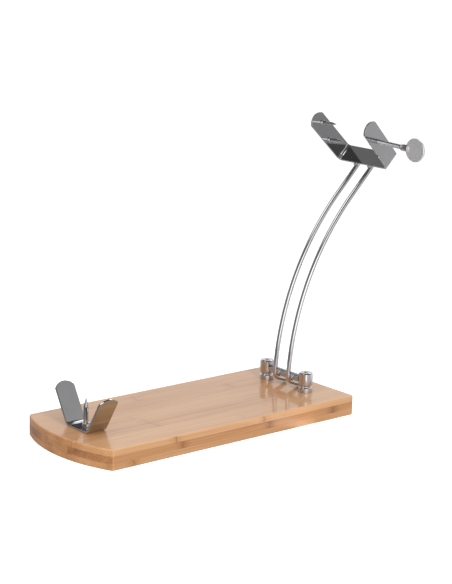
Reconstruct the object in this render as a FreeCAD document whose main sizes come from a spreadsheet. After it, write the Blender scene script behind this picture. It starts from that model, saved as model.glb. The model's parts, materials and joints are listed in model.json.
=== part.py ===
import FreeCAD, Part
import Sketcher
import math
import os

# Folding ham stand. Millimetres, +Z up. The board's underside lies on Z = 0 and its middle is
# the origin; its bowed front end points to -X and the hinge stands at the +X end.
# "left" is -Y and "right" is +Y, as seen by someone looking along the front direction.

sizes = {
    # board, three glued plies
    "board_length": 400.0,
    "board_width": 170.0,
    "front_bow": 20.0,
    "ply_bottom": 8.0,
    "ply_core": 9.0,
    "ply_top": 8.0,
    "corner_round": 5.0,
    "edge_round": 2.0,
    "foot_round": 1.0,
    # counterbored fixings under the board
    "bore_radius": 7.0,
    "bore_depth": 7.0,
    "bolt_radius": 3.0,
    "bolt_slack": 0.5,
    "bolt_head_radius": 5.0,
    "bolt_head": 4.8,
    "bolt_grip": 9.0,
    "hex_key": 5.0,
    "hex_key_depth": 2.6,
    "washer_radius": 6.2,
    "washer_thick": 1.2,
    # hinge posts and bar
    "hinge_inset": 41.0,
    "post_gap": 74.5,
    "post_radius": 9.0,
    "post_ring": 6.2,
    "post_neck": 4.0,
    "post_neck_radius": 7.6,
    "post_cap": 15.8,
    "post_bevel": 1.2,
    "bar_lift": 15.5,
    "bar_radius": 5.0,
    "spigot_radius": 3.5,
    "spigot_play": 0.05,
    "spigot_past_axis": 3.5,
    "end_play": 0.4,
    "grub_radius": 2.5,
    "grub_length": 5.0,
    "grub_key": 2.5,
    # arm rods
    "rod_radius": 3.0,
    "rod_spread": 25.2,
    "rod_sink": 0.3,
    "arm_radius": 344.0,
    "arm_lean": 2.7,
    "cradle_tilt": 44.5,
    "arm_top": 60.0,
    "rod_short": 2.0,
    "tail_dip": 20.0,
    "tail_rest": 0.3,
    # straps
    "strap_thick": 2.5,
    "cradle_width": 24.5,
    "cradle_base": 91.0,
    "cradle_side": 74.5,
    "cradle_splay": 3.6,
    "cradle_bend": 4.0,
    "bracket_width": 27.0,
    "bracket_base": 41.5,
    "bracket_side": 54.0,
    "bracket_splay": 31.0,
    "bracket_bend": 5.0,
    "bracket_inset": 43.0,
    "end_bow": 7.0,
    # upright spike in the bracket
    "spike_radius": 3.0,
    "spike_height": 35.0,
    "spike_point": 11.0,
    "spike_tip": 0.4,
    "spike_nut_flats": 10.0,
    "spike_nut_height": 5.0,
    "lock_nut_height": 4.0,
    "thread_show": 1.0,
    # side spikes in the cradle
    "barb_radius": 2.3,
    "barb_stud": 2.0,
    "barb_collar": 3.6,
    "barb_collar_thick": 2.0,
    "barb_length": 27.0,
    "barb_point": 10.0,
    "barb_nut_flats": 7.0,
    "barb_nut_height": 3.2,
    "barb_high": 58.0,
    "barb_high_across": 3.0,
    "barb_low": 33.0,
    "barb_low_across": -5.0,
    "weld_radius": 4.8,
    # clamp screw and thumb disc
    "clamp_up": 42.0,
    "screw_radius": 3.0,
    "screw_play": 0.05,
    "screw_point": 6.0,
    "screw_reach": 16.0,
    "clamp_nut_flats": 10.0,
    "clamp_nut_height": 5.0,
    "disc_radius": 15.0,
    "disc_thick": 3.0,
    "disc_out": 61.5,
    "hub_radius": 4.4,
    "hub_length": 11.0,
    "hub_grip": 4.2,
    "hub_wall": 0.7,
}

derived = {
    "board_top": "=ply_bottom + ply_core + ply_top",
    "core_level": "=ply_bottom",
    "top_level": "=ply_bottom + ply_core",
    "bow_radius": "=(board_width ^ 2 / 4 + front_bow ^ 2) / (2 * front_bow)",
    "hinge_x": "=board_length / 2 - hinge_inset",
    "bracket_x": "=bracket_inset - board_length / 2",
    "post_y": "=post_gap / 2",
    "post_height": "=post_ring + post_neck + post_cap",
    "bar_z": "=board_top + bar_lift",
    "bar_length": "=post_gap - 2 * post_radius - 2 * end_play",
    "rod_reach": "=bar_radius + rod_radius - rod_sink",
    "arc_x": "=hinge_x + (arm_radius - rod_reach) * cos(arm_lean)",
    "arc_z": "=bar_z - (arm_radius - rod_reach) * sin(arm_lean)",
    "crest_x": "=arc_x - arm_radius * cos(cradle_tilt)",
    "crest_z": "=arc_z + arm_radius * sin(cradle_tilt)",
    "cradle_x": "=crest_x + arm_top * sin(cradle_tilt) - rod_radius * cos(cradle_tilt)",
    "cradle_z": "=crest_z + arm_top * cos(cradle_tilt) + rod_radius * sin(cradle_tilt)",
    "tail_drop": "=bar_lift - tail_rest - (rod_reach + rod_radius) * cos(tail_dip)",
    "tail_length": "=tail_drop / sin(tail_dip)",
    "washer_level": "=bore_depth - washer_thick",
    "head_level": "=washer_level - bolt_head",
}

doc = FreeCAD.newDocument("ham_stand")
sheet = doc.addObject("Spreadsheet::Sheet", "dims")
for row, (name, value) in enumerate(list(sizes.items()) + list(derived.items()), start=1):
    sheet.set("A%d" % row, name)
    sheet.set("B%d" % row, str(value))
    sheet.setAlias("B%d" % row, name)
doc.recompute()


def val(name):
    return float(sheet.get(name))


def vec(x, y, z):
    return FreeCAD.Vector(x, y, z)


def frame(origin, along, across=None):
    """Placement whose local Z follows along and whose local X follows across."""
    if across is None:
        return FreeCAD.Placement(origin, FreeCAD.Rotation(vec(0, 0, 1), along))
    side = along.cross(across)
    return FreeCAD.Placement(origin, FreeCAD.Rotation(across, side, along, "ZXY"))


def bind(thing, **texts):
    """Ties properties to the sheet; words starting with a letter are dimension names."""
    for prop, text in texts.items():
        words = []
        for word in text.replace("(", " ( ").replace(")", " ) ").split():
            plain = word in ("cos", "sin", "tan") or not word[0].isalpha()
            words.append(word if plain else "dims." + word)
        thing.setExpression(prop, "".join(words))
    return thing


def solid(kind, name, place, **texts):
    thing = doc.addObject("Part::" + kind, name)
    thing.Placement = place
    return bind(thing, **texts)


def rod(name, place, radius, height):
    return solid("Cylinder", name, place, Radius=radius, Height=height)


def hexagon(name, place, flats, height):
    return solid("Prism", name, place, Circumradius=flats + " / 2 / cos ( 30 )", Height=height)


def fuse(name, pieces):
    thing = doc.addObject("Part::MultiFuse", name)
    thing.Shapes = pieces
    thing.Refine = True
    return thing


def cut(name, base, *tools):
    """Takes the tools from the base one after another; the last cut carries the name."""
    for index, tool in enumerate(tools, start=1):
        last = index == len(tools)
        thing = doc.addObject("Part::Cut", name if last else "%s_cut_%d" % (name, index))
        thing.Base = base
        thing.Tool = tool
        thing.Refine = True
        base = thing
    return thing


nodes = {}


def keep(name, thing):
    thing.Label = name
    nodes[name] = thing
    return thing


def plane_of(body, role):
    return [item for item in body.Origin.OriginFeatures if item.Role == role][0]


def add_rule(sketch, rule, text=None):
    index = sketch.addConstraint(Sketcher.Constraint(*rule))
    if text:
        sketch.setExpression("Constraints[%d]" % index, text)


def bowed_plate(name, width, length, bow, thick):
    """Plate with one straight end at X = 0 and one bowed end at X = -length."""
    body = doc.addObject("PartDesign::Body", name)
    sketch = body.newObject("Sketcher::SketchObject", name + "_outline")
    sketch.AttachmentSupport = [(plane_of(body, "XY_Plane"), "")]
    sketch.MapMode = "FlatFace"
    wide, sag = val(width), val(bow)
    side = val(length) - sag
    radius = (wide ** 2 / 4 + sag ** 2) / (2 * sag)
    half = math.asin(wide / 2 / radius)
    corners = [vec(0, -wide / 2, 0), vec(0, wide / 2, 0), vec(-side, wide / 2, 0), vec(-side, -wide / 2, 0)]
    sketch.addGeometry(Part.LineSegment(corners[0], corners[1]))
    sketch.addGeometry(Part.LineSegment(corners[1], corners[2]))
    sketch.addGeometry(Part.LineSegment(corners[3], corners[0]))
    circle = Part.Circle(vec(radius - side - sag, 0, 0), vec(0, 0, 1), radius)
    sketch.addGeometry(Part.ArcOfCircle(circle, math.pi - half, math.pi + half))
    for first, second in (((0, 2), (1, 1)), ((1, 2), (3, 1)), ((3, 2), (2, 1)), ((2, 2), (0, 1))):
        add_rule(sketch, ("Coincident",) + first + second)
    add_rule(sketch, ("Symmetric", 0, 1, 0, 2, -1, 1))
    add_rule(sketch, ("PointOnObject", 0, 1, -2))
    add_rule(sketch, ("Horizontal", 1))
    add_rule(sketch, ("Horizontal", 2))
    names = {"w": "dims." + width, "l": "dims." + length, "b": "dims." + bow}
    add_rule(sketch, ("DistanceY", 0, 1, 0, 2, wide), names["w"])
    add_rule(sketch, ("DistanceX", 1, 2, 1, 1, side), "{l} - {b}".format(**names))
    add_rule(sketch, ("Radius", 3, radius), "({w} ^ 2 / 4 + {b} ^ 2) / (2 * {b})".format(**names))
    pad = body.newObject("PartDesign::Pad", name + "_pad")
    pad.Profile = sketch
    pad.setExpression("Length", "dims." + thick)
    body.Tip = pad
    doc.recompute()
    return body


def round_edges(body, name, radius, wanted):
    """Rounds every edge of the body's tip for which wanted(edge) is true."""
    tip = body.Tip
    picked = ["Edge%d" % (i + 1) for i, edge in enumerate(tip.Shape.Edges) if wanted(edge)]
    fillet = body.newObject("PartDesign::Fillet", name)
    fillet.Base = (tip, picked)
    fillet.setExpression("Radius", "dims." + radius)
    body.Tip = fillet
    doc.recompute()


def upright(edge):
    first, last = edge.Vertexes[0].Point, edge.Vertexes[-1].Point
    return abs(first.z - last.z) > 1.0


def level(height):
    def test(edge):
        return all(abs(vertex.Point.z - height) < 0.01 for vertex in edge.Vertexes)
    return test


up = vec(0, 0, 1)
top = val("board_top")
hinge = vec(val("hinge_x"), 0, 0)
sides = (("left", -1), ("right", 1))
fixings = [("bracket", vec(val("bracket_x"), 0, 0))]
fixings += [("post_" + word, hinge + vec(0, side * val("post_y"), 0)) for word, side in sides]

# ---- board: three plies with the same outline, drilled and counterbored together ----
drillings = []
for word, spot in fixings:
    drillings.append(rod("drill_" + word, frame(spot - up * 5, up), "bolt_radius + bolt_slack", "board_top + 10"))
    drillings.append(rod("counterbore_" + word, frame(spot - up * 5, up), "bore_radius", "bore_depth + 5"))
board_holes = fuse("board_holes", drillings)
plies = (("board_bottom_ply", 0.0, "ply_bottom"), ("board_core_ply", val("core_level"), "ply_core"),
         ("board_top_ply", val("top_level"), "ply_top"))
for name, height, thick in plies:
    ply = bowed_plate(name + "_blank", "board_width", "board_length", "front_bow", thick)
    ply.Placement = FreeCAD.Placement(vec(val("board_length") / 2, 0, height), FreeCAD.Rotation())
    round_edges(ply, name + "_corners", "corner_round", upright)
    if name == "board_top_ply":
        round_edges(ply, name + "_rim", "edge_round", level(val(thick)))
    if name == "board_bottom_ply":
        round_edges(ply, name + "_rim", "foot_round", level(0.0))
    keep(name, cut(name, ply, board_holes))


# ---- fixings under the board ----
def washer(name, spot):
    place = frame(spot + up * val("washer_level"), up)
    ring = rod(name + "_ring", place, "washer_radius", "washer_thick")
    return cut(name, ring, rod(name + "_eye", place, "bolt_radius", "washer_thick"))


for word, spot in fixings:
    keep(word + "_washer", washer(word + "_washer", spot))

for word, side in sides:
    foot = hinge + vec(0, side * val("post_y"), 0)
    # socket-head bolt up through the board into the post
    name = "post_%s_bolt" % word
    head_at = frame(foot + up * val("head_level"), up)
    head = rod(name + "_head", head_at, "bolt_head_radius", "bolt_head")
    shank = rod(name + "_shank", head_at, "bolt_radius", "board_top - head_level + bolt_grip")
    socket = hexagon(name + "_socket", head_at, "hex_key", "hex_key_depth")
    keep(name, cut(name, fuse(name + "_solid", [head, shank]), socket))

    # turned post: ring, narrow neck, bevelled cap
    name = "hinge_post_" + word
    foot_at = foot + up * top
    neck_at = foot_at + up * val("post_ring")
    cap_at = neck_at + up * val("post_neck")
    bevel_at = cap_at + up * (val("post_cap") - val("post_bevel"))
    turned = fuse(name + "_turned", [
        rod(name + "_ring", frame(foot_at, up), "post_radius", "post_ring"),
        rod(name + "_neck", frame(neck_at, up), "post_neck_radius", "post_neck"),
        rod(name + "_cap", frame(cap_at, up), "post_radius", "post_cap - post_bevel"),
        solid("Cone", name + "_bevel", frame(bevel_at, up), Radius1="post_radius",
              Radius2="post_radius - post_bevel", Height="post_bevel"),
    ])
    # blind cross bore for the bar's spigot, from the inner side to just past the post's axis
    inner_at = vec(hinge.x, side * (val("post_y") - val("post_radius") - 5), val("bar_z"))
    bores = [
        rod(name + "_thread", frame(foot_at, up), "bolt_radius", "bolt_grip + 1"),
        rod(name + "_cross", frame(inner_at, vec(0, side, 0)), "spigot_radius + spigot_play",
            "post_radius + 5 + spigot_past_axis + end_play"),
        rod(name + "_grub_bore", frame(vec(foot.x, foot.y, val("bar_z")), up), "grub_radius", "post_height"),
    ]
    keep(name, cut(name, turned, *bores))

    # grub screw down the post's middle, just clear of the spigot
    name = "post_%s_grub" % word
    low = vec(foot.x, foot.y, val("bar_z") + val("spigot_radius") + val("end_play"))
    blank = rod(name + "_blank", frame(low, up), "grub_radius", "grub_length")
    key = hexagon(name + "_key", frame(low + up * val("grub_length") / 2, up), "grub_key", "grub_length")
    keep(name, cut(name, blank, key))


# ---- bent straps: flat base, two bends and two sides with bowed ends ----
def bend_run(kind):
    """Length that a bend takes from each of its two flats, on the outer face."""
    outer = val(kind + "_bend") + val("strap_thick")
    return outer * math.tan(math.radians(90 - val(kind + "_splay")) / 2)


def side_frame(kind, side, height):
    """Point on a side's outer face, that far from the sharp outer corner, and its axes."""
    lean = math.radians(val(kind + "_splay"))
    along = vec(0, side * math.sin(lean), math.cos(lean))
    out = vec(0, side * math.cos(lean), -math.sin(lean))
    return vec(0, side * val(kind + "_base") / 2, 0) + along * height, along, out


def strap(name, kind, holes):
    """Strap in its own frame: width along X, base on Z = 0, sides rising towards +Z."""
    run = bend_run(kind)
    outer = val(kind + "_bend") + val("strap_thick")
    flat = val(kind + "_base") / 2 - run
    base_at = FreeCAD.Placement(vec(-val(kind + "_width") / 2, -flat, 0), FreeCAD.Rotation())
    base = solid("Box", name + "_base", base_at, Length=kind + "_width", Height="strap_thick",
                 Width="%s_base - 2 * ( %s_bend + strap_thick ) * tan ( ( 90 - %s_splay ) / 2 )" % ((kind,) * 3))
    pieces = [base]
    for word, side in sides:
        label = "%s_%s" % (name, word)
        middle = vec(-side * val(kind + "_width") / 2, side * flat, outer)
        bend_at = frame(middle, vec(side, 0, 0), vec(0, 0, -1))
        tube = rod(label + "_bend", bend_at, kind + "_bend + strap_thick", kind + "_width")
        bind(tube, Angle="90 - %s_splay" % kind)
        hollow = rod(label + "_bend_inside", bend_at, kind + "_bend", kind + "_width")
        pieces.append(cut(label + "_bend_shell", tube, hollow))
        start, along, out = side_frame(kind, side, run)
        blank = bowed_plate(label + "_side", kind + "_width", kind + "_straight", "end_bow", "strap_thick")
        blank.Placement = frame(start, -out, -along)
        pieces.append(blank)
    return cut(name, fuse(name + "_bent", pieces), *holes)


for kind in ("cradle", "bracket"):
    row = len(sizes) + len(derived) + 1 + ("cradle", "bracket").index(kind)
    text = "=%s_side - (%s_bend + strap_thick) * tan((90 - %s_splay) / 2)" % ((kind,) * 3)
    sheet.set("A%d" % row, kind + "_straight")
    sheet.set("B%d" % row, text)
    sheet.setAlias("B%d" % row, kind + "_straight")
doc.recompute()

# ---- front bracket with its upright spike ----
stud_hole = rod("bracket_stud_hole", frame(vec(0, 0, -5), up), "spike_radius", "strap_thick + 10")
bracket = strap("front_bracket", "bracket", [stud_hole])
bracket.Placement = FreeCAD.Placement(vec(val("bracket_x"), 0, top), FreeCAD.Rotation())
keep("front_bracket", bracket)

stem = vec(val("bracket_x"), 0, 0)
nut_level = val("washer_level") - val("lock_nut_height")
stud_low = nut_level - val("thread_show")
cone_level = top + val("strap_thick") + val("spike_height") - val("spike_point")
stud = rod("bracket_stud", frame(stem + up * stud_low, up), "spike_radius",
           "board_top + strap_thick + spike_height - spike_point - washer_level + lock_nut_height + thread_show")
point = solid("Cone", "bracket_point", frame(stem + up * cone_level, up), Radius1="spike_radius",
              Radius2="spike_tip", Height="spike_point")
keep("bracket_spike", fuse("bracket_spike", [stud, point]))


def nut(name, place, flats, height, radius):
    blank = hexagon(name + "_blank", place, flats, height)
    return cut(name, blank, rod(name + "_eye", place, radius, height))


keep("spike_nut", nut("spike_nut", frame(stem + up * (top + val("strap_thick")), up),
                      "spike_nut_flats", "spike_nut_height", "spike_radius"))
keep("spike_lock_nut", nut("spike_lock_nut", frame(stem + up * nut_level, up),
                           "spike_nut_flats", "lock_nut_height", "spike_radius"))

# ---- arm: bar, two bent rods ----
pivot = vec(hinge.x, 0, val("bar_z"))
lean = math.radians(val("arm_lean"))
tilt = math.radians(val("cradle_tilt"))
dip = math.radians(val("tail_dip"))
start_dir = vec(-math.cos(lean), 0, math.sin(lean))
rods = []
for word, side in sides:
    name = "arm_rod_" + word
    shift = vec(0, side * val("rod_spread") / 2, 0)
    centre = vec(val("arc_x"), 0, val("arc_z")) + shift
    sweep = solid("Torus", name + "_sweep", frame(centre, vec(0, 1, 0), start_dir),
                  Radius1="arm_radius", Radius2="rod_radius", Angle3="cradle_tilt - arm_lean")
    hook = solid("Torus", name + "_hook", frame(pivot + shift, vec(0, -1, 0), start_dir),
                 Radius1="rod_reach", Radius2="rod_radius", Angle3="90 - tail_dip + arm_lean")
    hook_end = pivot + shift + vec(-math.sin(dip), 0, -math.cos(dip)) * val("rod_reach")
    tail = rod(name + "_tail", frame(hook_end, vec(math.cos(dip), 0, -math.sin(dip))), "rod_radius", "tail_length")
    crest = vec(val("crest_x"), 0, val("crest_z")) + shift
    straight = rod(name + "_top", frame(crest, vec(math.sin(tilt), 0, math.cos(tilt))), "rod_radius",
                   "arm_top + cradle_width / 2 - rod_short")
    rods.append(keep(name, fuse(name, [sweep, hook, tail, straight])))

bar_start = pivot - vec(0, val("bar_length") / 2, 0)
bar = rod("bar_body", frame(bar_start, vec(0, 1, 0)), "bar_radius", "bar_length")
spigot_end = val("post_y") + val("spigot_past_axis")
spigots = rod("bar_spigots", frame(pivot - vec(0, spigot_end, 0), vec(0, 1, 0)), "spigot_radius",
              "post_gap + 2 * spigot_past_axis")
keep("hinge_bar", cut("hinge_bar", fuse("bar_solid", [bar, spigots]), *rods))

# ---- cradle: strap, barbs, welds and clamp nut, all placed in the strap's own frame ----
cradle_place = FreeCAD.Placement(vec(val("cradle_x"), 0, val("cradle_z")),
                                 FreeCAD.Rotation(vec(0, 1, 0), val("cradle_tilt") - 90))
thick = val("strap_thick")
across = vec(1, 0, 0)
barbs = (("upper", "barb_high", "barb_high_across"), ("lower", "barb_low", "barb_low_across"))
flange_holes = []
fitted = []
for word, height, offset in barbs:
    spot, along, out = side_frame("cradle", 1, val(height))
    spot = spot + across * val(offset)
    name = word + "_barb"
    flange_holes.append(rod(name + "_hole", frame(spot + out * 5, -out), "barb_stud", "strap_thick + 10"))
    inner = spot - out * thick
    stud = rod(name + "_stud", frame(spot + out * (val("barb_nut_height") + val("thread_show")), -out),
               "barb_stud", "barb_nut_height + thread_show + strap_thick")
    collar = rod(name + "_collar", frame(inner, -out), "barb_collar", "barb_collar_thick")
    shaft = rod(name + "_shaft", frame(inner, -out), "barb_radius", "barb_length - barb_point")
    tip = solid("Cone", name + "_tip", frame(inner - out * (val("barb_length") - val("barb_point")), -out),
                Radius1="barb_radius", Radius2="spike_tip", Height="barb_point")
    fitted.append((name, fuse(name, [stud, collar, shaft, tip])))
    fitted.append((name + "_nut", nut(name + "_nut", frame(spot, out, across), "barb_nut_flats",
                                      "barb_nut_height", "barb_stud")))

spot, along, out = side_frame("cradle", -1, val("clamp_up"))
flange_holes.append(rod("clamp_hole", frame(spot + out * 5, -out), "screw_radius + screw_play",
                        "strap_thick + 10"))
fitted.append(("clamp_nut", nut("clamp_nut", frame(spot - out * thick, -out, across), "clamp_nut_flats",
                                "clamp_nut_height", "screw_radius + screw_play")))
cradle = strap("cradle_strap", "cradle", flange_holes)
fitted.append(("cradle_strap", cradle))
for word, side in sides:
    name = "cradle_weld_" + word
    middle = vec(-val("cradle_width") / 2, side * val("rod_spread") / 2, -val("rod_radius"))
    bead = solid("Sphere", name + "_bead", frame(middle, up), Radius="weld_radius")
    core = rod(name + "_core", frame(middle - across * 10, across), "rod_radius", "cradle_width")
    plate_at = FreeCAD.Placement(vec(-val("cradle_width") / 2, middle.y - 10, 0), FreeCAD.Rotation())
    plate = solid("Box", name + "_plate", plate_at, Length="cradle_width", Width="20", Height="20")
    fitted.append((name, cut(name, bead, core, plate)))

# ---- clamp screw and thumb disc, along the left side's outward normal ----
shaft_out = val("disc_out") - val("disc_radius") - val("hub_wall") - val("end_play")
hub_start = val("disc_out") - val("disc_radius") + val("hub_grip") - val("hub_length")
tip_end = spot - out * val("screw_reach")
point = solid("Cone", "clamp_point", frame(tip_end, out), Radius1="spike_tip", Radius2="screw_radius",
              Height="screw_point")
shaft = rod("clamp_shaft", frame(tip_end + out * val("screw_point"), out), "screw_radius",
            "screw_reach - screw_point + disc_out - disc_radius - hub_wall - end_play")
fitted.append(("clamp_screw", fuse("clamp_screw", [point, shaft])))

# at rest the disc stands upright, facing the board's two ends
forward = cradle_place.Rotation.inverted().multVec(vec(1, 0, 0))
facing = (forward - out * forward.dot(out)).normalize()
disc_middle = spot + out * val("disc_out")
disc_start = disc_middle - facing * val("disc_thick") / 2
fitted.append(("thumb_disc", rod("thumb_disc", frame(disc_start, facing), "disc_radius", "disc_thick")))
hub = rod("hub_blank", frame(spot + out * hub_start, out, across), "hub_radius", "hub_length")
slot_start = spot + out * (val("disc_out") - val("disc_radius"))
slot_corner = slot_start - facing * val("disc_thick") / 2 - out.cross(facing) * 2 * val("hub_radius")
slot = solid("Box", "hub_slot", frame(slot_corner, out, facing), Length="disc_thick",
             Width="4 * hub_radius", Height="hub_length")
seat = rod("hub_seat", frame(spot + out * hub_start, out), "screw_radius + screw_play",
           "hub_length - hub_grip - hub_wall")
fitted.append(("disc_hub", cut("disc_hub", hub, slot, seat)))

for name, thing in fitted:
    thing.Placement = cradle_place.multiply(thing.Placement)
    keep(name, thing)

doc.recompute()
faults = [item.Name for item in doc.Objects if "Invalid" in item.State or "Error" in item.State]
if faults:
    raise RuntimeError("not rebuilt: " + ", ".join(faults))
os.makedirs("parts", exist_ok=True)
for name, thing in nodes.items():
    shape = thing.Shape
    if shape.isNull() or not shape.isValid() or len(shape.Solids) != 1:
        raise RuntimeError("bad solid: %s (%d solids)" % (name, len(shape.Solids)))
    shape.exportStep("parts/%s.step" % name)
    print("%-22s %10.1f mm3" % (name, shape.Volume))
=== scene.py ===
import json
import math
import bmesh
import bpy
from mathutils import Matrix, Vector


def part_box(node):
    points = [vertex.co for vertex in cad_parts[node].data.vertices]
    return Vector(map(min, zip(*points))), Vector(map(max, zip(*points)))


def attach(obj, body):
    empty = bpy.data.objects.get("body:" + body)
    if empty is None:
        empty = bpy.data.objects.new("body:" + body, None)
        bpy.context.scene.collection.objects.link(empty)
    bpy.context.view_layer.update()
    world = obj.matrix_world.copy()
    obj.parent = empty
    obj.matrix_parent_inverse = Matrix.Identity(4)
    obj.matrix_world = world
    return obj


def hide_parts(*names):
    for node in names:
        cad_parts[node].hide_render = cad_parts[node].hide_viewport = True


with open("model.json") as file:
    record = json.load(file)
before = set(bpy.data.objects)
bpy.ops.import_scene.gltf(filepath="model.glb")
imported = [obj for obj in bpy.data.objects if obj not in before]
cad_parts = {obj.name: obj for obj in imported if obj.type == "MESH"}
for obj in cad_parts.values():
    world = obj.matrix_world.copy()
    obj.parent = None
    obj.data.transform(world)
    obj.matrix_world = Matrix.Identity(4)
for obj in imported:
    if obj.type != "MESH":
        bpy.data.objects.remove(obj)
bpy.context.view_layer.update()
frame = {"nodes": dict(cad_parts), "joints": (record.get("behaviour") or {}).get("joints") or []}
nodes = frame["nodes"]
joints = {joint["name"]: joint for joint in frame["joints"]}
mm = 0.001
print("frame loaded:", len(nodes), "nodes")


class Value:
    # a node's output that takes part in plain arithmetic
    def __init__(self, graph, socket):
        self.graph = graph
        self.socket = socket

    def maths(self, operation, *numbers):
        return self.graph.add("ShaderNodeMath", {"operation": operation}, dict(enumerate(numbers)))

    def __add__(self, other):
        return self.maths("ADD", self, other)

    def __radd__(self, other):
        return self.maths("ADD", other, self)

    def __sub__(self, other):
        return self.maths("SUBTRACT", self, other)

    def __rsub__(self, other):
        return self.maths("SUBTRACT", other, self)

    def __mul__(self, other):
        return self.maths("MULTIPLY", self, other)

    def __rmul__(self, other):
        return self.maths("MULTIPLY", other, self)

    def __truediv__(self, other):
        return self.maths("DIVIDE", self, other)

    def __gt__(self, other):
        return self.maths("GREATER_THAN", self, other)

    def __lt__(self, other):
        return self.maths("LESS_THAN", self, other)

    def size(self):
        return self.maths("ABSOLUTE", self)

    def whole(self):
        return self.maths("FLOOR", self)

    def part(self):
        return self.maths("FRACT", self)

    def ramp(self, low, high):
        # 0 below low, 1 above high, smooth in between
        settings = {"interpolation_type": "SMOOTHSTEP"}
        return self.graph.add("ShaderNodeMapRange", settings, {0: self, 1: low, 2: high, 3: 0.0, 4: 1.0})


class Graph:
    def __init__(self, tree):
        self.tree = tree
        tree.nodes.clear()

    def add(self, kind, settings, inputs, output=0):
        node = self.tree.nodes.new(kind)
        for key, value in settings.items():
            if key == "stops":
                elements = node.color_ramp.elements
                while len(elements) < len(value):
                    elements.new(0.5)
                for element, (place, colour) in zip(elements, value):
                    element.position = place
                    element.color = (*colour, 1.0)
            else:
                setattr(node, key, value)
        for key, value in inputs.items():
            if isinstance(value, Value):
                self.tree.links.new(value.socket, node.inputs[key])
            else:
                node.inputs[key].default_value = value
        return Value(self, node.outputs[output]) if len(node.outputs) else None

    def mix(self, factor, first, second):
        return self.add("ShaderNodeMix", {"data_type": "RGBA"}, {0: factor, 6: first, 7: second}, 2)

    def coordinates(self, output="Object"):
        # the place on the piece, or another such vector, and its three numbers
        where = self.add("ShaderNodeTexCoord", {}, {}, output)
        return where, [self.add("ShaderNodeSeparateXYZ", {}, {0: where}, axis) for axis in range(3)]

    def stretched(self, where, scale):
        return self.add("ShaderNodeMapping", {}, {"Vector": where, "Scale": scale})

    def noise(self, where, scale, detail=2.0, roughness=0.5):
        inputs = {"Vector": where, "Scale": scale, "Detail": detail, "Roughness": roughness}
        return self.add("ShaderNodeTexNoise", {}, inputs)

    def surface(self, inputs):
        shader = self.add("ShaderNodeBsdfPrincipled", {}, inputs)
        self.add("ShaderNodeOutputMaterial", {}, {0: shader})


def newMaterial(name):
    material = bpy.data.materials.new(name)
    material.use_nodes = True
    return material, Graph(material.node_tree)


# bamboo, with lengths in millimetres
bambooLook = {
    "pale": (0.58, 0.330, 0.165), "warm": (0.44, 0.210, 0.085), "dark": (0.19, 0.070, 0.026),
    "fibreContrast": 0.60, "broadContrast": 0.80, "stripContrast": 0.12,
    "stripWidth": 19.0, "nodeSpacing": 310.0, "wander": 16.0,
    "roughness": 0.40, "coatWeight": 0.75, "coatRoughness": 0.07,
}
# a depth of 0 is the palest ply; the joints part its three staves, each with a tone of its own
plies = {
    "topPly": {"node": "board_top_ply", "name": "bambooTopPly", "depth": 0.0, "seed": 1.0,
               "joints": (-29.0, 28.0), "tones": (0.05, 0.20, 0.10), "knots": (-88.0, 49.0)},
    "corePly": {"node": "board_core_ply", "name": "bambooCorePly", "depth": 0.36, "seed": 2.0,
                "joints": (-22.0, 34.0), "tones": (0.22, 0.02, 0.14), "knots": (-78.0, 58.0, 164.0)},
    "bottomPly": {"node": "board_bottom_ply", "name": "bambooBottomPly", "depth": 0.10, "seed": 3.0,
                  "joints": (-34.0, 25.0), "tones": (0.06, 0.10, 0.04), "knots": (-150.0,)},
}


def staveTone(across, ply):
    # how dark each of the three glued staves is
    first, second = [across > place * mm for place in ply["joints"]]
    stave = first + second
    tones = ply["tones"]
    return (stave < 0.5) * tones[0] + ((stave - 1.0).size() < 0.5) * tones[1] + (stave > 1.5) * tones[2]


def culmNodes(graph, where, along, chance):
    # a fine line across each strip now and then, and the shade round it
    gap = bambooLook["nodeSpacing"] * mm
    cloud = graph.noise(graph.stretched(where, (9.0, 60.0, 60.0)), 1.0, 3.0)
    wobble = (cloud - 0.5) * (bambooLook["wander"] * mm)
    distance = (((along + wobble) / gap + chance * 5.3).part() - 0.5).size() * gap
    return 1.0 - distance.ramp(0.4 * mm, 3.0 * mm), 1.0 - distance.ramp(2.0 * mm, 18.0 * mm)


def sideKnots(graph, where, along, places):
    # wrinkled knots, and the shade round them
    crinkle = graph.noise(graph.stretched(where, (120.0, 30.0, 420.0)), 1.0, 3.0, 0.7)
    jagged = (crinkle - 0.5) * (bambooLook["wander"] * mm)
    knot = 0.0
    halo = 0.0
    for place in places:
        distance = (along - place * mm + jagged).size()
        knot = (1.0 - distance.ramp(0.3 * mm, 2.2 * mm)) + knot
        halo = (1.0 - distance.ramp(1.0 * mm, 14.0 * mm)) + halo
    return knot, halo


def seamLines(across, ply):
    first, second = [(across - place * mm).size() for place in ply["joints"]]
    return (1.0 - first.ramp(0.1 * mm, 0.6 * mm)) + (1.0 - second.ramp(0.1 * mm, 0.6 * mm))


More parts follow.
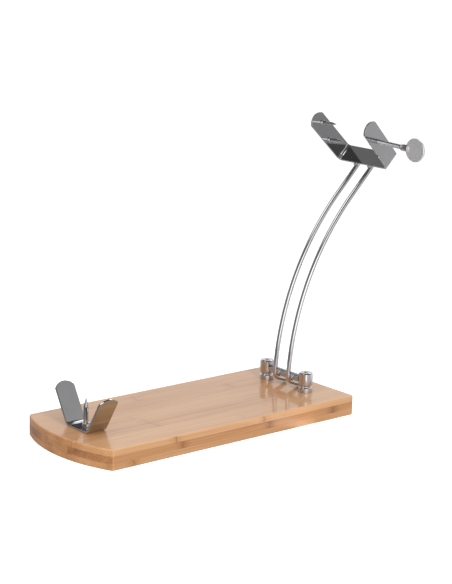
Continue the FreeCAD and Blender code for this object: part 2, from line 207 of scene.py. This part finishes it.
def bamboo(ply):
    look = bambooLook
    material, graph = newMaterial(ply["name"])
    where, (along, across, _) = graph.coordinates()
    _, (facingAlong, facingAcross, _) = graph.coordinates("Normal")
    ends = facingAlong.size().ramp(0.45, 0.70)
    sides = facingAcross.size().ramp(0.50, 0.80)
    # narrow strips, each a little lighter or darker by chance
    strip = across / (look["stripWidth"] * mm) + ply["seed"] * 0.37
    chanceInput = {"W": strip.whole() * 7.13 + ply["seed"]}
    chance = graph.add("ShaderNodeTexWhiteNoise", {"noise_dimensions": "1D"}, chanceInput)
    stripEdge = (strip.part() - 0.5).size().ramp(0.485, 0.500)
    # fibres run along the board
    fibres = graph.noise(graph.stretched(where, (5.0, 420.0, 420.0)), 1.0, 4.0, 0.6)
    broad = graph.noise(graph.stretched(where, (4.0, 45.0, 60.0)), 1.0, 3.0)
    nodeLine, nodeHalo = culmNodes(graph, where, along, chance)
    nodeLine = nodeLine * (1.0 - sides)
    nodeHalo = nodeHalo * (1.0 - sides)
    knot, knotHalo = sideKnots(graph, where, along, ply["knots"])
    knot = knot * sides
    seams = seamLines(across, ply)
    # fine dark bundles in the end grain
    bundleInputs = {"Vector": graph.stretched(where, (60.0, 900.0, 900.0)), "Scale": 1.0}
    bundles = 1.0 - graph.add("ShaderNodeTexVoronoi", {}, bundleInputs).ramp(0.10, 0.42)
    shade = staveTone(across, ply) + (ply["depth"] * 0.55 + 0.10)
    shade = shade + (fibres - 0.5) * look["fibreContrast"] + (broad - 0.5) * look["broadContrast"]
    shade = shade + (chance - 0.5) * look["stripContrast"] + nodeHalo * chance * 0.10
    shade = shade + knotHalo * sides * 0.22 + ends * (bundles * 0.26 + 0.26)
    stops = ((0.0, look["pale"]), (0.5, look["warm"]), (1.0, look["dark"]))
    colour = graph.add("ShaderNodeValToRGB", {"stops": stops}, {0: shade})
    marks = nodeLine * (1.0 - ends) * (chance * 0.18 + 0.08) + knot * 0.55 + seams * 0.22 + stripEdge * 0.05
    colour = graph.mix(marks, colour, (*look["dark"], 1.0))
    relief = fibres * 0.5 + nodeLine * 0.3 - knot * 0.6 - seams * 0.8
    bump = graph.add("ShaderNodeBump", {}, {"Strength": 0.10, "Distance": 0.3 * mm, "Height": relief})
    graph.surface({
        "Base Color": colour, "Roughness": fibres * 0.12 + look["roughness"], "Normal": bump,
        "Coat Weight": look["coatWeight"], "Coat Roughness": look["coatRoughness"],
        "Specular IOR Level": 0.35})
    return material


# the roughness varies by spread, over grains of the fineness given
steelLooks = {
    "polished": {"name": "polishedSteel", "colour": (0.64, 0.63, 0.65), "metallic": 1.0,
                 "roughness": 0.06, "spread": 0.03, "fineness": 60.0, "relief": 0.0},
    "strap": {"name": "strapSteel", "colour": (0.50, 0.50, 0.51), "metallic": 1.0,
              "roughness": 0.075, "spread": 0.03, "fineness": 500.0, "relief": 0.0},
    "disc": {"name": "discSteel", "colour": (0.88, 0.88, 0.88), "metallic": 0.85,
             "roughness": 0.38, "spread": 0.10, "fineness": 700.0, "relief": 0.0},
    "fixing": {"name": "fixingSteel", "colour": (0.55, 0.55, 0.56), "metallic": 1.0,
               "roughness": 0.30, "spread": 0.10, "fineness": 60.0, "relief": 0.0},
    "weld": {"name": "weldMetal", "colour": (0.66, 0.65, 0.64), "metallic": 1.0,
             "roughness": 0.22, "spread": 0.25, "fineness": 900.0, "relief": 0.5},
}
smearShade = 0.86


def steel(look):
    material, graph = newMaterial(look["name"])
    where, _ = graph.coordinates()
    grain = graph.noise(graph.stretched(where, [look["fineness"]] * 3), 1.0, 3.0, 0.6)
    smears = graph.noise(where, 35.0, 2.0)
    smeared = [part * smearShade for part in look["colour"]]
    tint = graph.mix(smears.ramp(0.30, 0.75) * 0.5, (*look["colour"], 1.0), (*smeared, 1.0))
    roughness = (grain - 0.4) * look["spread"] + look["roughness"]
    inputs = {"Base Color": tint, "Metallic": look["metallic"], "Roughness": roughness}
    if look["relief"]:
        relief = {"Strength": look["relief"], "Distance": 0.2 * mm, "Height": grain}
        inputs["Normal"] = graph.add("ShaderNodeBump", {}, relief)
    graph.surface(inputs)
    return material


materials = {word: bamboo(ply) for word, ply in plies.items()}
materials.update({word: steel(look) for word, look in steelLooks.items()})
print("materials ready")


def finishPiece(shape, name, material, body, replaced=(), smooth=True):
    mesh = bpy.data.meshes.new(name)
    if smooth:
        for face in shape.faces:
            face.smooth = True
    shape.to_mesh(mesh)
    shape.free()
    piece = bpy.data.objects.new(name, mesh)
    bpy.context.collection.objects.link(piece)
    mesh.materials.append(materials[material])
    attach(piece, body)
    if replaced:
        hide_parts(*replaced)
    return piece


def boxMiddle(node):
    low, high = [Vector(corner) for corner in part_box(node)]
    return (low + high) / 2


def turnedShape(outline, steps, middle):
    # outline points are radius and height; the first and last lie on the axis
    shape = bmesh.new()
    points = [shape.verts.new((radius, 0.0, height)) for radius, height in outline]
    edges = [shape.edges.new(pair) for pair in zip(points, points[1:])]
    bmesh.ops.spin(shape, geom=points + edges, cent=(0, 0, 0), axis=(0, 0, 1), dvec=(0, 0, 0),
                   angle=2 * math.pi, steps=steps, use_merge=True, use_duplicate=False)
    bmesh.ops.remove_doubles(shape, verts=shape.verts, dist=1e-6)
    bmesh.ops.recalc_face_normals(shape, faces=shape.faces)
    bmesh.ops.translate(shape, vec=middle, verts=shape.verts)
    return shape


def arcPoints(centre, radius, start, end, count):
    turns = [math.radians(start + (end - start) * step / count) for step in range(count + 1)]
    return [(centre[0] + radius * math.cos(turn), centre[1] + radius * math.sin(turn)) for turn in turns]


# the plies keep their solids
for word, ply in plies.items():
    nodes[ply["node"]].data.materials.clear()
    nodes[ply["node"]].data.materials.append(materials[word])
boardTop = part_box("board_top_ply")[1][2]
print("board ready")

# hinge posts: a foot ring, a rounded waist and a cap with a grub screw's bore
post = {
    "radius": 9.0, "height": 26.0, "edge": 0.3, "ring": 6.2, "ringSoft": 0.9,
    "neck": 7.3, "neckSoft": 1.4, "neckRise": 1.8, "capStart": 11.2, "capSoft": 0.8, "bevel": 1.3,
    "grubRadius": 2.55, "grubFloor": 18.9, "steps": 96, "sharpFrom": 32.0,
}


def postOutline():
    radius, height, edge, bevel = post["radius"], post["height"], post["edge"], post["bevel"]
    ringSoft, neckSoft, capSoft = post["ringSoft"], post["neckSoft"], post["capSoft"]
    outline = [(0.0, 0.0), (radius - edge, 0.0), (radius, edge)]
    outline += arcPoints((radius - ringSoft, post["ring"] - ringSoft), ringSoft, 0, 90, 6)
    outline += arcPoints((post["neck"] + neckSoft, post["ring"] + post["neckRise"]), neckSoft, 230, 130, 8)
    outline += arcPoints((radius - capSoft, post["capStart"]), capSoft, -35, 0, 3)
    outline += [(radius, height - bevel), (radius - bevel * 0.9, height - 0.1)]
    outline += [(radius - bevel - 0.2, height)]
    outline += [(post["grubRadius"] + edge, height), (post["grubRadius"], height - edge)]
    outline += [(post["grubRadius"], post["grubFloor"]), (0.0, post["grubFloor"])]
    return [(reach * mm, level * mm) for reach, level in outline]


for word in ("left", "right"):
    middle = boxMiddle("hinge_post_" + word)
    middle.z = boardTop
    shape = turnedShape(postOutline(), post["steps"], middle)
    piece = finishPiece(shape, "hingePost_" + word, "polished", "base",
                        ["hinge_post_" + word])
    piece.data.set_sharp_from_angle(angle=math.radians(post["sharpFrom"]))
print("hinge posts ready")

# steel parts whose sharp edges are eased; angles in degrees, area in square millimetres
easing = {"sharpFrom": 25.0, "curvedFrom": 0.6, "flatBelow": 0.3, "widestCurved": 80.0, "steps": 2}
easedParts = (
    # node, softness, material, body, slot
    ("front_bracket", 0.45, "strap", "base", "strap_steel"),
    ("spike_nut", 0.45, "polished", "base", "polished_steel"),
    ("spike_lock_nut", 0.3, "fixing", "base", "fixing_steel"),
    ("bracket_washer", 0.2, "fixing", "base", "fixing_steel"),
    ("post_left_washer", 0.2, "fixing", "base", "fixing_steel"),
    ("post_right_washer", 0.2, "fixing", "base", "fixing_steel"),
    ("post_left_bolt", 0.3, "fixing", "base", "fixing_steel"),
    ("post_right_bolt", 0.3, "fixing", "base", "fixing_steel"),
    ("post_left_grub", 0.2, "fixing", "base", "fixing_steel"),
    ("post_right_grub", 0.2, "fixing", "base", "fixing_steel"),
    ("arm_rod_left", 0.5, "polished", "arm", "polished_steel"),
    ("arm_rod_right", 0.5, "polished", "arm", "polished_steel"),
    ("cradle_strap", 0.45, "strap", "arm", "strap_steel"),
    ("upper_barb_nut", 0.3, "fixing", "arm", "fixing_steel"),
    ("lower_barb_nut", 0.3, "fixing", "arm", "fixing_steel"),
    ("clamp_nut", 0.4, "fixing", "arm", "fixing_steel"),
    ("upper_barb", 0.25, "polished", "arm", "polished_steel"),
    ("lower_barb", 0.25, "polished", "arm", "polished_steel"),
    ("bracket_spike", 0.25, "polished", "base", "polished_steel"),
    ("disc_hub", 0.3, "polished", "knob", "polished_steel"),
    ("thumb_disc", 0.5, "disc", "knob", "strap_steel"),
)


def easedCopy(node, softness):
    # the solid again, with its sharp edges eased so that they catch the light
    sharpFrom, curvedFrom = math.radians(easing["sharpFrom"]), math.radians(easing["curvedFrom"])
    shape = bmesh.new()
    shape.from_mesh(nodes[node].data)
    bmesh.ops.remove_doubles(shape, verts=shape.verts, dist=1e-6)
    bmesh.ops.dissolve_limit(shape, angle_limit=math.radians(easing["flatBelow"]), verts=shape.verts,
                             edges=shape.edges)
    for face in shape.faces:
        # wide plane faces stay flat, so that they mirror without bending
        curved = any(curvedFrom < edge.calc_face_angle(0.0) < sharpFrom for edge in face.edges)
        face.smooth = curved and face.calc_area() < easing["widestCurved"] * mm * mm
    sharp = [edge for edge in shape.edges if edge.calc_face_angle(0.0) > sharpFrom]
    made = bmesh.ops.bevel(shape, geom=sharp, offset=softness * mm, offset_type="OFFSET", profile=0.5,
                           segments=easing["steps"], affect="EDGES", material=-1, clamp_overlap=True)
    for face in made["faces"]:
        face.smooth = True
    return shape


for node, softness, finish, body, slot in easedParts:
    words = node.split("_")
    name = words[0] + "".join(word.capitalize() for word in words[1:])
    finishPiece(easedCopy(node, softness), name, finish, body, [node], smooth=False)
nodes["hinge_bar"].data.materials.clear()
nodes["hinge_bar"].data.materials.append(materials["polished"])
print("steel parts ready")

# clamp screw with a real thread; the crest is flat between two shares of the pitch
screw = {"pitch": 1.0, "radius": 3.0, "depth": 0.28, "crest": (0.22, 0.78), "steps": 28,
         "trim": 0.2, "pointLength": 6.0, "pointBase": 2.91, "tipRadius": 0.4, "sharpFrom": 50.0}


def threadedRod(threadEnd):
    pitch, radius, root = screw["pitch"] * mm, screw["radius"] * mm, (screw["radius"] - screw["depth"]) * mm
    crestStart, crestEnd = screw["crest"]
    turns = int(threadEnd / pitch) + 3
    shape = bmesh.new()
    outline = [(root, 0.0), (radius, crestStart), (radius, crestEnd), (root, 1.0)]
    points = [shape.verts.new((reach, 0.0, (share - 1.0) * pitch)) for reach, share in outline]
    edges = [shape.edges.new(pair) for pair in zip(points, points[1:])]
    bmesh.ops.spin(shape, geom=points + edges, cent=(0, 0, 0), axis=(0, 0, 1), angle=2 * math.pi * turns,
                   dvec=(0, 0, pitch / screw["steps"]), steps=screw["steps"] * turns, use_duplicate=False)
    bmesh.ops.remove_doubles(shape, verts=shape.verts, dist=1e-6)
    # trim the thread square at both ends and close it
    for level, below in ((screw["trim"] * mm, True), (threadEnd, False)):
        everything = shape.verts[:] + shape.edges[:] + shape.faces[:]
        bmesh.ops.bisect_plane(shape, geom=everything, dist=1e-7, plane_co=(0, 0, level),
                               plane_no=(0, 0, 1), clear_inner=below, clear_outer=not below)
        rim = [edge for edge in shape.edges if edge.is_boundary]
        near = [edge for edge in rim if all(abs(corner.co.z - level) < 1e-5 for corner in edge.verts)]
        bmesh.ops.contextual_create(shape, geom=near)
    return shape


def clampScrew():
    inward = Vector(joints["clamp_feed"]["axis"]).normalized()
    knobMiddle = Vector(joints["clamp_turn"]["pos_m"])
    reaches = [inward.dot(corner.co - knobMiddle) for corner in nodes["clamp_screw"].data.vertices]
    pointLength = screw["pointLength"] * mm
    threadEnd = max(reaches) - min(reaches) - pointLength
    shape = threadedRod(threadEnd)
    point = bmesh.ops.create_cone(shape, cap_ends=True, segments=48, radius1=screw["pointBase"] * mm,
                                  radius2=screw["tipRadius"] * mm, depth=pointLength)
    bmesh.ops.translate(shape, vec=(0, 0, threadEnd + pointLength / 2), verts=point["verts"])
    bmesh.ops.recalc_face_normals(shape, faces=shape.faces)
    turn = inward.to_track_quat("Z", "Y").to_matrix().to_4x4()
    place = Matrix.Translation(knobMiddle + inward * min(reaches)) @ turn
    bmesh.ops.transform(shape, matrix=place, verts=shape.verts)
    piece = finishPiece(shape, "clampScrew", "polished", "screw", ["clamp_screw"])
    piece.data.set_sharp_from_angle(angle=math.radians(screw["sharpFrom"]))


clampScrew()
print("clamp screw ready")

# weld beads: three each side of a rod on the cross bar, and rows along and round it at the cradle
weld = {
    "swell": 0.16, "flatten": 0.85,
    "barBead": 1.5, "barRadius": 5.0, "barLap": 0.4, "barAside": 2.7, "barRises": (-1.6, 0.0, 1.6),
    "cradleBead": 2.1, "rowLength": 5, "rowPitch": 1.7, "rowStart": -0.6, "rowLift": 1.6,
    "rodRadius": 3.0, "endTurns": (-40, 0, 40), "cradleTilt": 44.5,
}


def beadRow(name, spots, radius, replaced=()):
    shape = bmesh.new()
    for index, spot in enumerate(spots):
        swollen = radius * mm * (1.0 + weld["swell"] * math.sin(index * 2.3))
        ball = bmesh.ops.create_icosphere(shape, subdivisions=3, radius=swollen)
        bmesh.ops.scale(shape, vec=(1.0, 1.0, weld["flatten"]), verts=ball["verts"])
        bmesh.ops.translate(shape, vec=spot, verts=ball["verts"])
    finishPiece(shape, name, "weld", "arm", replaced)


def barSpots(rodMiddle):
    # where the rod lies against the bar
    pivot = Vector(joints["arm_fold"]["pos_m"])
    touch = Vector((pivot.x - (weld["barRadius"] - weld["barLap"]) * mm, rodMiddle, pivot.z))
    aside = weld["barAside"] * mm
    return [touch + Vector((0, side * aside, rise * mm)) for side in (-1, 1) for rise in weld["barRises"]]


def cradleSpots(edge):
    # slope runs up the cradle's base, and face is square to it
    tilt = math.radians(weld["cradleTilt"])
    slope = Vector((math.sin(tilt), 0, math.cos(tilt)))
    face = Vector((-math.cos(tilt), 0, math.sin(tilt)))
    rod = weld["rodRadius"] * mm
    spots = []
    for side in (-1, 1):
        for step in range(weld["rowLength"]):
            climb = (weld["rowStart"] + step * weld["rowPitch"]) * mm
            spots.append(edge + slope * climb + Vector((0, side * rod, 0)) + face * weld["rowLift"] * mm)
    for turn in map(math.radians, weld["endTurns"]):
        start = edge + slope * weld["rowStart"] * mm
        spots.append(start + Vector((0, math.sin(turn) * rod, 0)) + face * math.cos(turn) * rod)
    return spots


for word in ("left", "right"):
    rodMiddle = boxMiddle("arm_rod_" + word).y
    beadRow("barWeld_" + word, barSpots(rodMiddle), weld["barBead"])
    edge = boxMiddle("cradle_weld_" + word)
    edge.y = rodMiddle
    beadRow("cradleWeld_" + word, cradleSpots(edge), weld["cradleBead"], ["cradle_weld_" + word])
print("welds ready")

# studio, in metres; the beams are bright lines on the floor, seen only in reflections
# the floor's dark and grey are painted shade, seen only in reflections
studio = {
    "floorRadius": 1.15, "floorShadedDark": 0.10, "floorShadedGrey": 0.60, "floorWhite": 0.90, "floorGlow": 0.55,
    "beamTurn": -115.0, "beamWidth": 0.16, "beamGlow": 1.3, "sideBeamPlace": -0.12, "sideBeamGlow": 0.8,
    "roomGlow": 0.12, "lampGlow": 2.4, "seenGlow": 1.1, "aim": (0.05, 0.0, 0.12),
}
softBoxes = {
    "keyBox": {"place": (-0.35, -1.75, 0.85), "width": 0.35, "height": 0.9, "power": 28.0},
    "topBox": {"place": (0.10, -0.15, 1.90), "width": 0.8, "height": 0.8, "power": 6.0},
    "fillBox": {"place": (-1.70, 0.10, 0.50), "width": 0.6, "height": 0.6, "power": 17.0},
}
# right and up are directions of the view
view = {
    "place": (-1.3318, -1.6321, 0.6708), "right": (0.76601, -0.64226, 0.02699),
    "up": (0.12859, 0.19424, 0.97249), "lens": 109.78, "shift": (-0.00086, 0.00086),
}


def floorBeams(along, across):
    # one beam widens from the hinge towards the viewer, the other runs lengthways past the hinge end
    turn = math.radians(studio["beamTurn"])
    fromHinge = along - joints["arm_fold"]["pos_m"][0]
    forward = fromHinge * math.cos(turn) + across * math.sin(turn)
    aside = across * math.cos(turn) - fromHinge * math.sin(turn)
    spread = (aside / forward).size() / studio["beamWidth"]
    beam = (1.0 - spread.ramp(0.5, 1.3)) * (forward > 0.0) * studio["beamGlow"]
    sideSpread = (across - studio["sideBeamPlace"]).size().ramp(0.03, 0.07)
    return beam + (1.0 - sideSpread) * along.ramp(0.25, 0.35) * studio["sideBeamGlow"]


def floorDisc():
    shape = bmesh.new()
    bmesh.ops.create_circle(shape, cap_ends=True, segments=96, radius=studio["floorRadius"])
    mesh = bpy.data.meshes.new("floor")
    shape.to_mesh(mesh)
    shape.free()
    floor = bpy.data.objects.new("floor", mesh)
    bpy.context.collection.objects.link(floor)
    # white in view; in reflections, painted shade: dark past the bowed end, where the floor lies unlit, and
    # paler towards the hinge end
    material, graph = newMaterial("paleFloor")
    _, (along, across, _) = graph.coordinates()
    dark, grey, white = [(*[studio[word]] * 3, 1.0) for word in ("floorShadedDark", "floorShadedGrey", "floorWhite")]
    beams = graph.mix(floorBeams(along, across), (0.0, 0.0, 0.0, 1.0), (1.0, 1.0, 1.0, 1.0))
    # painted shade on the floor, seen only in reflections
    shade = graph.mix(along.ramp(-0.60, 0.45), dark, grey)
    mirrored = graph.add("ShaderNodeBsdfPrincipled", {}, {
        "Base Color": shade, "Roughness": 0.8, "Emission Color": beams, "Emission Strength": 1.0})
    plain = graph.add("ShaderNodeBsdfPrincipled", {}, {
        "Base Color": white, "Roughness": 0.8, "Emission Color": (1.0, 1.0, 1.0, 1.0),
        "Emission Strength": studio["floorGlow"]})
    seen = graph.add("ShaderNodeLightPath", {}, {}, "Is Camera Ray")
    shader = graph.add("ShaderNodeMixShader", {}, {0: seen, 1: mirrored, 2: plain})
    graph.add("ShaderNodeOutputMaterial", {}, {0: shader})
    mesh.materials.append(material)


def softBox(name, box):
    light = bpy.data.lights.new(name, "AREA")
    light.shape = "RECTANGLE"
    light.size = box["width"]
    light.size_y = box["height"]
    light.energy = box["power"]
    lamp = bpy.data.objects.new(name, light)
    lamp.location = box["place"]
    lamp.rotation_euler = (Vector(studio["aim"]) - Vector(box["place"])).to_track_quat("-Z", "Y").to_euler()
    bpy.context.collection.objects.link(lamp)
    lamp.visible_glossy = False  # keeps the lamp out of reflections


def studioRoom():
    # white in view; in reflections, a pale low band under a dim ceiling
    world = bpy.data.worlds.new("studio")
    bpy.context.scene.world = world
    world.use_nodes = True
    graph = Graph(world.node_tree)
    _, (lengthways, crossways, up) = graph.coordinates("Generated")
    away = lengthways * 0.65 + crossways * 0.76
    near = 0.0 - away
    rightwards = lengthways * 0.766 - crossways * 0.642
    leftwards = 0.0 - rightwards
    low = 1.0 - up.ramp(0.45, 0.80)
    belowEye = 1.0 - up.ramp(-0.10, 0.04)
    # brighter behind the object, and behind the viewer except on the left
    glowWall = near.ramp(0.45, 0.90) * (rightwards + 0.3).ramp(0.0, 0.4)
    wall = away.ramp(0.45, 0.90) * 0.30 + glowWall * 1.3 + 0.50
    # darker past the bowed end, just below level on the right, low behind the object
    # and high behind the viewer
    dimWall = leftwards.ramp(0.30, 0.70) * near.ramp(-0.5, 0.1) * 0.85
    dimSide = belowEye * up.ramp(-0.20, -0.10) * rightwards.ramp(0.70, 0.95) * 0.55
    dimFar = belowEye * away.ramp(0.60, 0.90) * 0.75
    dimHigh = near.ramp(0.35, 0.70) * up.ramp(0.36, 0.50) * 0.92
    room = low * wall * (1.0 - dimWall) * (1.0 - dimSide) * (1.0 - dimFar) * (1.0 - dimHigh)
    # two round lamps overhead, one towards each end of the board
    frontLamp = (up * 0.84 - lengthways * 0.54 + crossways * 0.08).ramp(0.955, 0.985)
    rearLamp = (up * 0.76 + lengthways * 0.63 + crossways * 0.17).ramp(0.970, 0.990)
    room = room + (frontLamp + rearLamp) * studio["lampGlow"] + studio["roomGlow"]
    seen = graph.add("ShaderNodeLightPath", {}, {}, "Is Camera Ray")
    strength = seen * studio["seenGlow"] + (1.0 - seen) * room
    back = graph.add("ShaderNodeBackground", {}, {"Color": (1.0, 1.0, 1.0, 1.0), "Strength": strength})
    graph.add("ShaderNodeOutputWorld", {}, {0: back})


def camera():
    right, up = Vector(view["right"]), Vector(view["up"])
    turn = Matrix((right, up, right.cross(up))).transposed().to_4x4()
    lens = bpy.data.cameras.new("camera")
    lens.lens = view["lens"]
    lens.shift_x, lens.shift_y = view["shift"]
    lens.clip_start = 0.05
    eye = bpy.data.objects.new("camera", lens)
    eye.matrix_world = Matrix.Translation(view["place"]) @ turn
    bpy.context.collection.objects.link(eye)
    bpy.context.scene.camera = eye


floorDisc()
studioRoom()
for name, box in softBoxes.items():
    softBox(name, box)
camera()
bpy.context.scene.view_settings.view_transform = "Standard"
print("studio ready")
